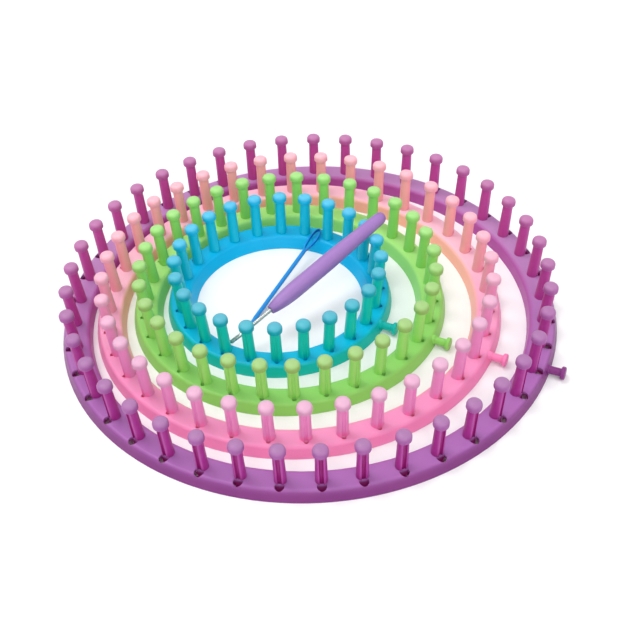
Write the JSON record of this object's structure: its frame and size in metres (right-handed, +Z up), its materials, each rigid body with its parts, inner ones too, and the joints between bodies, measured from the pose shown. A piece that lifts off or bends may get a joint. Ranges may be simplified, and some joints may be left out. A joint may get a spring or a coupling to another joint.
{
  "type": "nested round knitting loom set",
  "caption": "Nested set of round peg looms for hand knitting, in graded sizes, with a bent-tip loom hook and a large-eye yarn needle lying across the smallest loom.",
  "frame": {"origin": "centre of the largest loom's underside, on the table", "axes": "+Z up along the pegs' common direction; -Y is the front of the set; +X to the right seen from the front"},
  "size_m": [0.2917, 0.2916, 0.0423],
  "materials": {
    "purple_loom": "semi-gloss moulded plastic, slightly translucent",
    "pink_loom": "semi-gloss moulded plastic, slightly translucent",
    "green_loom": "semi-gloss moulded plastic, slightly translucent",
    "blue_loom": "semi-gloss moulded plastic, slightly translucent",
    "handle_plastic": "satin moulded plastic",
    "hook_steel": "drawn and polished wire",
    "needle_plastic": "smooth moulded plastic"
  },
  "bodies": {
    "purple_loom": {"purple_anchor_peg": "purple_loom", "purple_pegs_01_to_03": "purple_loom", "purple_pegs_04_to_06": "purple_loom", "purple_pegs_07_to_09": "purple_loom", "purple_pegs_10_to_12": "purple_loom", "purple_pegs_13_to_15": "purple_loom", "purple_pegs_16_to_18": "purple_loom", "purple_pegs_19_to_20": "purple_loom", "purple_pegs_21_to_23": "purple_loom", "purple_pegs_24_to_26": "purple_loom", "purple_pegs_27_to_29": "purple_loom", "purple_pegs_30_to_32": "purple_loom", "purple_pegs_33_to_35": "purple_loom", "purple_pegs_36_to_38": "purple_loom", "purple_pegs_39_to_41": "purple_loom", "purple_ring": "purple_loom"},
    "pink_loom": {"pink_anchor_peg": "pink_loom", "pink_pegs_01_to_03": "pink_loom", "pink_pegs_04_to_06": "pink_loom", "pink_pegs_07_to_09": "pink_loom", "pink_pegs_10_to_12": "pink_loom", "pink_pegs_13_to_15": "pink_loom", "pink_pegs_16_to_18": "pink_loom", "pink_pegs_19_to_21": "pink_loom", "pink_pegs_22_to_24": "pink_loom", "pink_pegs_25_to_27": "pink_loom", "pink_pegs_28_to_30": "pink_loom", "pink_pegs_31_to_33": "pink_loom", "pink_pegs_34_to_36": "pink_loom", "pink_ring": "pink_loom"},
    "green_loom": {"green_anchor_peg": "green_loom", "green_pegs_01_to_03": "green_loom", "green_pegs_04_to_06": "green_loom", "green_pegs_07_to_08": "green_loom", "green_pegs_09_to_11": "green_loom", "green_pegs_12_to_14": "green_loom", "green_pegs_15_to_17": "green_loom", "green_pegs_18_to_20": "green_loom", "green_pegs_21_to_23": "green_loom", "green_pegs_24_to_25": "green_loom", "green_pegs_26_to_28": "green_loom", "green_pegs_29_to_31": "green_loom", "green_ring": "green_loom"},
    "blue_loom": {"blue_anchor_peg": "blue_loom", "blue_pegs_01_to_03": "blue_loom", "blue_pegs_04_to_06": "blue_loom", "blue_pegs_07_to_09": "blue_loom", "blue_pegs_10_to_12": "blue_loom", "blue_pegs_13_to_15": "blue_loom", "blue_pegs_16_to_18": "blue_loom", "blue_pegs_19_to_21": "blue_loom", "blue_pegs_22_to_24": "blue_loom", "blue_ring": "blue_loom"},
    "loom_hook": {"hook_handle": "handle_plastic", "hook_shaft": "hook_steel"},
    "yarn_needle": {"yarn_needle": "needle_plastic"}
  },
  "joints": [
    {"name": "pink_loom_lift", "type": "slide", "parent": "purple_loom", "child": "pink_loom", "axis": [0, 0, 1], "range_m": [0, 0.06]},
    {"name": "green_loom_lift", "type": "slide", "parent": "purple_loom", "child": "green_loom", "axis": [0, 0, 1], "range_m": [0, 0.06]},
    {"name": "blue_loom_lift", "type": "slide", "parent": "purple_loom", "child": "blue_loom", "axis": [0, 0, 1], "range_m": [0, 0.06]},
    {"name": "loom_hook_lift", "type": "slide", "parent": "blue_loom", "child": "loom_hook", "axis": [0, 0, 1], "range_m": [0, 0.06]},
    {"name": "yarn_needle_lift", "type": "slide", "parent": "blue_loom", "child": "yarn_needle", "axis": [0, 0, 1], "range_m": [0, 0.06]}
  ]
}
